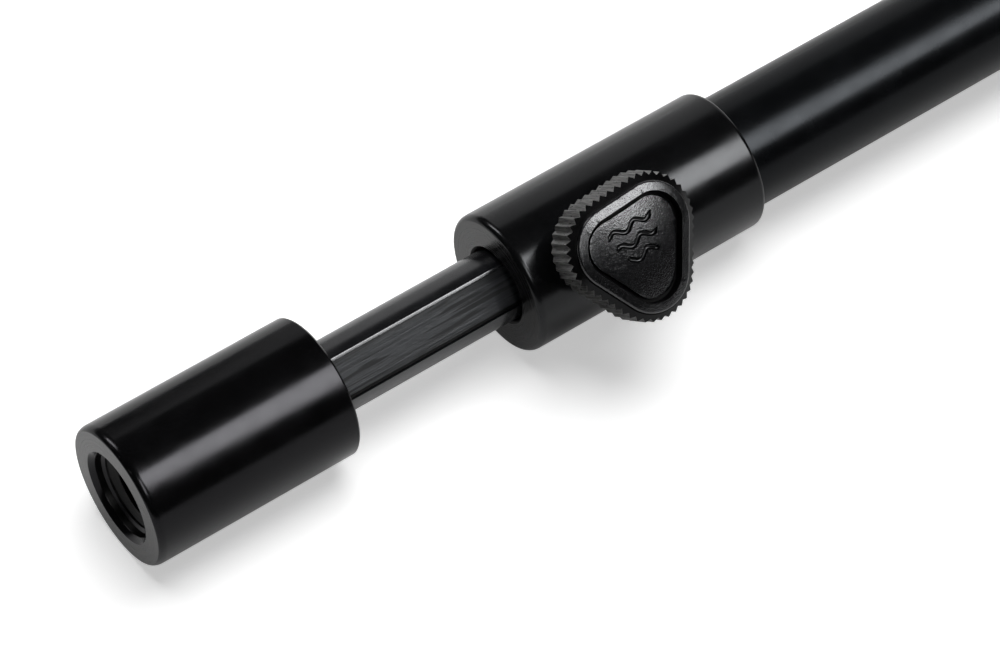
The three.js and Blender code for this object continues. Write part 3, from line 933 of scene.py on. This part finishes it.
# the small pieces that come as they are from the moulder or the screw maker
def plainFinish(name):
    s = {**plainLook["every"], **plainLook[name]}
    finish, tree, shader = startFinish(name, s)
    spots = addNoise(tree, s["spots"], detail=4)
    wanderColour(tree, shader, spots, shaded(s["colour"], s["shade"]), s["colour"])
    wanderRoughness(tree, shader, addNoise(tree, s["patches"]), s["rough"] - s["smoother"],
                    s["rough"] + s["rougher"])
    addBump(tree, shader, addNoise(tree, s["lines"]), s["depth"])
    return finish


headFinish = wornAnodised("satinBlackAnodised", headFront, headLook, headLook["radius"])
collarFinish = wornAnodised("collarBlackAnodised", collarFront, collarLook,
                            collarLook["radius"] - collarLook["rearDrop"])
tubeFinish = anodised("tubeBlackAnodised")
barFinish = anodised("barBlackAnodised")
pointFinish = anodised("turnedBlackPoint")
headEndFinish = facedEnd("facedHeadEnd")
collarEndFinish = facedEnd("facedCollarEnd")
# painted shade for the bores and recesses, and in the ripples' grooves
boreShadeFinish = shadeBlackFinish("boreShadeBlack")
grooveFinish = makeGrooveFinish()
recessShadeFinish = shadeBlackFinish("recessShadeBlack")
# painted highlight on the teeth
toothHighlightFinish = makeToothHighlightFinish()
capFinish = makeCapFinish()
rippleShadeFinish = shadeBlackFinish("rippleGlossShade")
knobFinish = anodised("knobBlackAnodised")
nylonFinish = plainFinish("naturalNylon")
steelFinish = plainFinish("brightSteel")


def dress(piece, finish):
    piece.data.materials.clear()
    piece.data.materials.append(finish)


# limits for a finish on some faces: which way they face, as a cosine, and how near they are, in mm
pickLook = {
    "endFacing": 0.98, "coneFacing": 0.6, "floorFacing": 0.995, "toothFacing": 0.2, "moatFacing": 0.8,
    "lipBelow": 0.03, "lipAbove": 0.02, "rippleShare": 0.75, "rippleEnd": 0.2, "rippleDepth": 0.012,
    "moatSide": 0.12, "moatRise": 0.1, "moatEnd": 0.2, "slack": 0.05,
}


# gives some of a piece's faces a finish of their own
def paintFaces(piece, finish, test):
    openForEditing(piece)
    pickFaces(piece, test)
    piece.data.materials.append(finish)
    piece.active_material_index = len(piece.data.materials) - 1
    bpy.ops.object.material_slot_assign()
    closeEdit(outwards=False)


def fromAxis(centre):
    return math.hypot(centre.y - axisY, centre.z - axisZ) / mm


# the head's bore past its mouth, but not the cone, which gets painted shade
def inHeadBore(centre, normal):
    s = headLook
    deep = (centre.x - headFront) / mm
    cone = s["counterboreDepth"] < deep < s["leadDepth"] and abs(normal.x) > pickLook["coneFacing"]
    inside = s["mouthChamfer"] + s["darkFrom"] < deep < s["darkTo"] and fromAxis(centre) < s["darkRadius"]
    return inside and not cone


def onEnds(centre, normal):
    return abs(normal.x) > pickLook["endFacing"]


# the collar's bore, which gets painted shade
def inCollarBore(centre, normal):
    return not onEnds(centre, normal) and fromAxis(centre) < collarLook["darkRadius"]


def onGrooveFloor(centre, normal):
    s = stemLook
    aside, height = placeOnScrew(centre)[1:]
    half = s["grooveWidth"] / 2
    between = s["darkBelow"] - half < aside < half - s["darkAbove"]
    level = normal.dot(screwWay) > pickLook["floorFacing"]
    return between and level and 0 < height < s["grooveFloor"] + pickLook["slack"]


# the groove's walls, which get painted shade
def onGrooveWalls(centre, normal):
    s = stemLook
    aside, height = placeOnScrew(centre)[1:]
    half = s["grooveWidth"] / 2
    below = -half - pickLook["lipBelow"] < aside < s["darkBelow"] - half
    above = half - s["darkAbove"] < aside < half + pickLook["lipAbove"]
    inDepth = s["grooveFloor"] - pickLook["slack"] < height < s["radius"] - s["wallTop"]
    return inDepth and (below or above)


def onTeeth(centre, normal):
    height = placeOnScrew(centre)[2]
    outwards = centre - screwFoot - screwWay * height * mm
    wall = knobLook["base"] < height < knobLook["base"] + knobLook["wall"]
    return wall and abs(normal.dot(screwWay)) < pickLook["toothFacing"] and outwards.dot(normal) > 0


# faces that lie below the dome, close to a ripple's line, which get painted shade
def inRipples(centre, normal):
    s = capLook
    x, y, height = placeOnScrew(centre)
    along = x * math.cos(waveTurn) + y * math.sin(waveTurn)
    side = x * math.sin(waveTurn) - y * math.cos(waveTurn) + waveSwing(along)
    reach = s["waveWidth"] * pickLook["rippleShare"]
    near = any(abs(side - across) < reach and abs(along) < length / 2 + pickLook["rippleEnd"]
               for across, length in s["waveRows"])
    return near and domeHeight(x, y) - height > pickLook["rippleDepth"]


# the moat round the panel, which gets painted shade, told from the cap's outer side by its distance from the
# lobes' triangle
def inMoat(centre, normal):
    s = capLook
    x, y, height = placeOnScrew(centre)
    gaps = []
    for side in range(3):
        facing = math.radians(knobLook["turn"]) + sixthTurn + thirdTurn * side
        across = x * math.cos(facing) + y * math.sin(facing) - knobLook["reach"] * math.cos(sixthTurn)
        along = abs(y * math.cos(facing) - x * math.sin(facing)) - knobLook["reach"] * math.sin(sixthTurn)
        gaps.append((across, along))
    across, along = max(gaps)
    inside = math.hypot(across, max(along, 0)) < s["corner"] - s["rim"] + pickLook["moatSide"]
    low = height < s["moatFloor"] + pickLook["moatRise"] or normal.dot(screwWay) < pickLook["moatFacing"]
    end = pickLook["moatEnd"]
    return inside and low and s["seat"] + end < height < s["panelTop"] - end


for piece, finish in (
    (threadedHead, headFinish), (clampCollar, collarFinish), (outerTube, tubeFinish),
    (innerStem, barFinish), (groundPoint, pointFinish), (thumbKnob, knobFinish), (knobInset, capFinish),
):
    dress(piece, finish)
# own finishes on some faces: those for the bores, groove walls, moat and ripples are painted shade, and the
# teeth's is a painted highlight
for piece, finish, test in (
    (threadedHead, headEndFinish, onEnds), (threadedHead, boreShadeFinish, inHeadBore),
    (clampCollar, collarEndFinish, onEnds), (clampCollar, recessShadeFinish, inCollarBore),
    (innerStem, recessShadeFinish, onGrooveWalls), (innerStem, grooveFinish, onGrooveFloor),
    (thumbKnob, toothHighlightFinish, onTeeth), (knobInset, rippleShadeFinish, inRipples), (knobInset, recessShadeFinish, inMoat),
):
    paintFaces(piece, finish, test)
for node, finish in (("stem_guide", nylonFinish), ("screw_pad", nylonFinish), ("guide_screw", steelFinish),
                     ("screw_stud", steelFinish)):
    dress(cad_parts[node], finish)
print("stick: finishes given")


# floor, light and camera

stageLook = {
    "floorColour": 0.86, "floorRough": 0.8, "floorMiddle": 0.6, "floorRadius": 7, "floorDrop": 0.02,
    "glowFrom": 0.5, "glossFrom": 0.1, "glowTo": 3.5, "glowNear": 0.5, "glossNear": 0.2, "glowFar": 0.9,
    "roomLight": 0.04, "wallHeight": 0.04,
}


# whether the eye looks, and whether gloss or glass does: the pale background lights nothing else
def backgroundRays(tree):
    path = addNode(tree, "LightPath").outputs
    gloss = addNode(tree, "Math", path["Is Glossy Ray"], path["Is Transmission Ray"], operation="MAXIMUM")
    return path["Is Camera Ray"], gloss.outputs[0]


def makeFloor():
    s = stageLook
    deselectEverything()
    bpy.ops.mesh.primitive_circle_add(vertices=96, radius=s["floorMiddle"], fill_type="NGON",
                                      location=(0, 0, -s["floorDrop"] * mm))
    floor = bpy.context.object
    floor.name = "paleFloor"
    openForEditing(floor)
    bpy.ops.mesh.select_mode(type="EDGE")
    bpy.ops.mesh.select_all(action="SELECT")
    bpy.ops.mesh.extrude_edges_move(TRANSFORM_OT_translate={"value": (0, 0, 0)})
    share = s["floorRadius"] / s["floorMiddle"]
    bpy.ops.transform.resize(value=(share, share, 1), center_override=(0, 0, 0))
    closeEdit(outwards=False)
    finish = bpy.data.materials.new("paleFloorFinish")
    finish.use_nodes = True
    tree = finish.node_tree
    shader = tree.nodes["Principled BSDF"]
    shader.inputs["Base Color"].default_value = (s["floorColour"],) * 3 + (1,)
    shader.inputs["Roughness"].default_value = s["floorRough"]
    shader.inputs["Specular IOR Level"].default_value = 0
    place = addNode(tree, "TexCoord").outputs["Object"]
    reach = addNode(tree, "VectorMath", place, operation="LENGTH").outputs["Value"]
    toEye = addNode(tree, "MapRange", reach, s["glowFrom"], s["glowTo"], s["glowNear"], s["glowFar"])
    toGloss = addNode(tree, "MapRange", reach, s["glossFrom"], s["glowTo"], s["glossNear"], s["glowFar"])
    eye, gloss = backgroundRays(tree)
    seen = addNode(tree, "Math", eye, toEye.outputs[0], operation="MULTIPLY").outputs[0]
    amount = addNode(tree, "Math", gloss, toGloss.outputs[0], seen, operation="MULTIPLY_ADD").outputs[0]
    glow = addNode(tree, "Emission", (1, 1, 1, 1), amount)
    both = addNode(tree, "AddShader", shader.outputs[0], glow.outputs[0])
    tree.links.new(both.outputs[0], tree.nodes["Material Output"].inputs["Surface"])
    dress(floor, finish)


# pale to the eye all over, and in gloss as high as a low wall round the table; a dim room above
def makeRoom():
    s = stageLook
    room = bpy.data.worlds.new("softRoom")
    room.use_nodes = True
    tree = room.node_tree
    background = tree.nodes["Background"]
    background.inputs["Color"].default_value = (1, 1, 1, 1)
    parts = addNode(tree, "SeparateXYZ", addNode(tree, "TexCoord").outputs["Generated"])
    wall = addNode(tree, "MapRange", parts.outputs["Z"], 0, s["wallHeight"], 1, 0)
    eye, gloss = backgroundRays(tree)
    low = addNode(tree, "Math", wall.outputs[0], gloss, operation="MULTIPLY")
    seen = addNode(tree, "Math", low.outputs[0], eye, operation="MAXIMUM")
    strength = addNode(tree, "MapRange", seen.outputs[0], 0, 1, s["roomLight"], 1)
    tree.links.new(strength.outputs[0], background.inputs["Strength"])
    bpy.context.scene.world = room


# where each lamp stands from the collar, its size in metres, and what it lights if not everything
lampLook = {
    "strip": {"towards": (0.4, -0.5, 0.77), "size": (1.1, 1.6), "power": 85, "for": "gloss"},
    "overhead": {"towards": (0.2, 0.1, 0.97), "size": (2.6, 2.6), "power": 92, "for": "diffuse"},
    "side": {"towards": (0.66, 0.62, 0.4), "aim": (-0.73, -0.68, 0), "size": (2.8, 2.5), "power": 18},
    "front": {"towards": (-0.12, -0.6, 0.79), "size": (0.6, 1.2), "power": 22, "for": "gloss"},
    "back": {"towards": (-0.12, 0.7, 0.7), "size": (0.6, 1.2), "power": 22, "for": "gloss"},
}
lampDistance = 3  # metres


def addSoftbox(name):
    s = lampLook[name]
    lamp = bpy.data.lights.new(name + "Softbox", "AREA")
    lamp.shape = "RECTANGLE"
    lamp.size, lamp.size_y = s["size"]
    lamp.energy = s["power"]
    holder = bpy.data.objects.new(name + "Softbox", lamp)
    bpy.context.scene.collection.objects.link(holder)
    towards = Vector(s["towards"]).normalized()
    holder.location = Vector((collarFront, axisY, axisZ)) + towards * lampDistance
    aim = Vector(s.get("aim", -towards))
    holder.rotation_euler = aim.to_track_quat("-Z", "Y").to_euler()
    holder.visible_camera = False
    holder.visible_diffuse = s.get("for") != "gloss"
    holder.visible_glossy = s.get("for") != "diffuse"


cameraLook = {
    "place": (-0.20995, -0.2745, 0.42211), "forward": (0.38039, 0.49538, -0.78097), "roll": 0.02417,
    "lens": 153.21, "sensor": 36, "near": 0.01, "far": 30,
}


def makeCamera():
    s = cameraLook
    lens = bpy.data.cameras.new("photoCamera")
    lens.lens = s["lens"]
    lens.sensor_width = s["sensor"]
    lens.clip_start, lens.clip_end = s["near"], s["far"]
    camera = bpy.data.objects.new("photoCamera", lens)
    bpy.context.scene.collection.objects.link(camera)
    camera.location = Vector((collarFront, axisY, axisZ)) + Vector(s["place"])
    level = Vector(s["forward"]).to_track_quat("-Z", "Y")
    camera.rotation_euler = (level @ Quaternion((0, 0, 1), s["roll"])).to_euler()
    bpy.context.scene.camera = camera


makeFloor()
makeRoom()
for name in lampLook:
    addSoftbox(name)
makeCamera()
bpy.context.scene.view_settings.view_transform = "Standard"
print("stick: floor, light and camera set")
